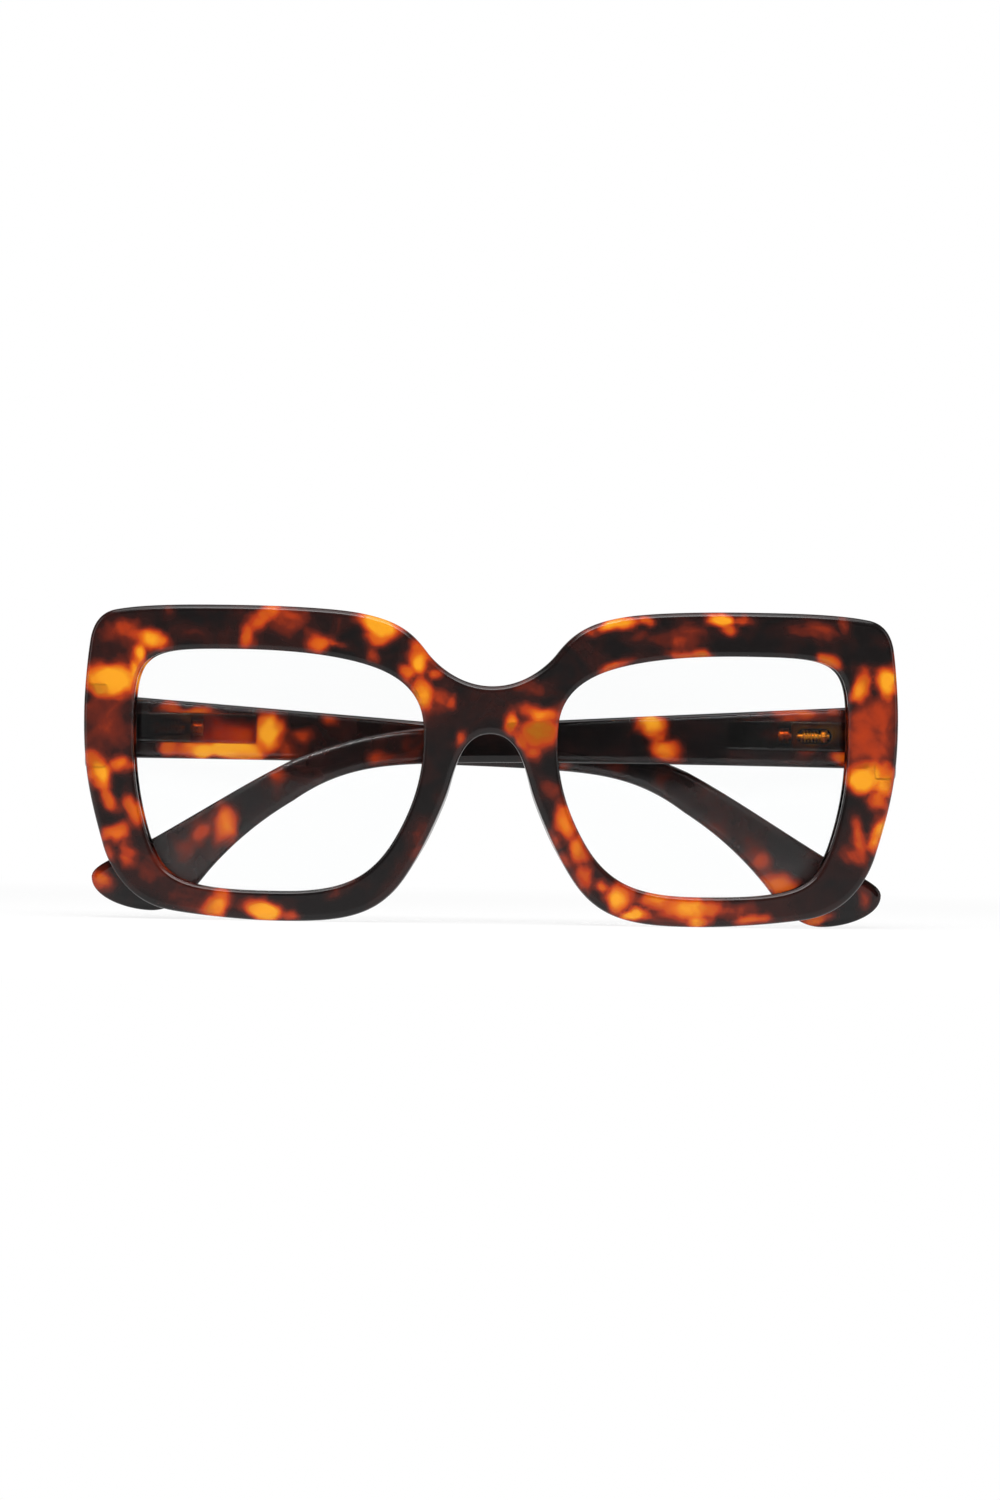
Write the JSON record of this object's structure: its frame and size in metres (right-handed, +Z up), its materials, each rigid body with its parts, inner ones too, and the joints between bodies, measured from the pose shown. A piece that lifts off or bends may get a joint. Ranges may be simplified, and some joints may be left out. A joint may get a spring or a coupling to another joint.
{
  "type": "folding reading glasses",
  "caption": "oversize square full-rim reading glasses in mottled tortoise plastic with clear lenses and sprung folding temples, folded flat behind the front",
  "frame": {"origin": "bottom centre of the bounding box, on the surface that the rims and the outer temple tip stand on", "axes": "+X along the front to the wearer's left, +Y from the front towards the wearer, +Z up as worn"},
  "size_m": [0.1448, 0.0232, 0.0559],
  "materials": {
    "tortoise_front": "satin mottled tortoise, dark brown with amber and honey patches",
    "tortoise_temple": "polished mottled tortoise, dark brown with amber and honey patches",
    "lens": "clear, polished",
    "hinge_metal": "dark satin",
    "screw_steel": "bright"
  },
  "bodies": {
    "front": {"front_frame": "tortoise_front", "left_lens": "lens", "right_lens": "lens", "left_hinge_anchor": "hinge_metal", "right_hinge_anchor": "hinge_metal", "left_hinge_screw": "screw_steel", "right_hinge_screw": "screw_steel"},
    "left_slider": {"left_hinge_slider": "hinge_metal"},
    "left_arm": {"left_temple": "tortoise_temple", "left_temple_cover": "tortoise_temple", "left_guide_screw": "screw_steel", "left_spring_nut": "screw_steel", "left_spring": "screw_steel"},
    "right_slider": {"right_hinge_slider": "hinge_metal"},
    "right_arm": {"right_temple": "tortoise_temple", "right_temple_cover": "tortoise_temple", "right_guide_screw": "screw_steel", "right_spring_nut": "screw_steel", "right_spring": "screw_steel"}
  },
  "joints": [
    {"name": "left_hinge", "type": "hinge", "parent": "front", "child": "left_slider", "pos_m": [0.0691, 0.00319, 0.03405], "axis": [0, 0, -1], "range_deg": [0, 96]},
    {"name": "left_spring_travel", "type": "slide", "parent": "left_slider", "child": "left_arm", "axis": [-0.9998, -0.0209, 0.0052], "range_m": [0, 0.0015], "stiffness_N_per_m": 3000, "springref_m": -0.001, "deforming": ["left_spring"]},
    {"name": "right_hinge", "type": "hinge", "parent": "front", "child": "right_slider", "pos_m": [-0.0691, 0.00319, 0.03405], "axis": [0, 0, 1], "range_deg": [0, 92.03]},
    {"name": "right_spring_travel", "type": "slide", "parent": "right_slider", "child": "right_arm", "axis": [0.9988, 0.0483, -0.0052], "range_m": [0, 0.0015], "stiffness_N_per_m": 3000, "springref_m": -0.001, "deforming": ["right_spring"]}
  ]
}
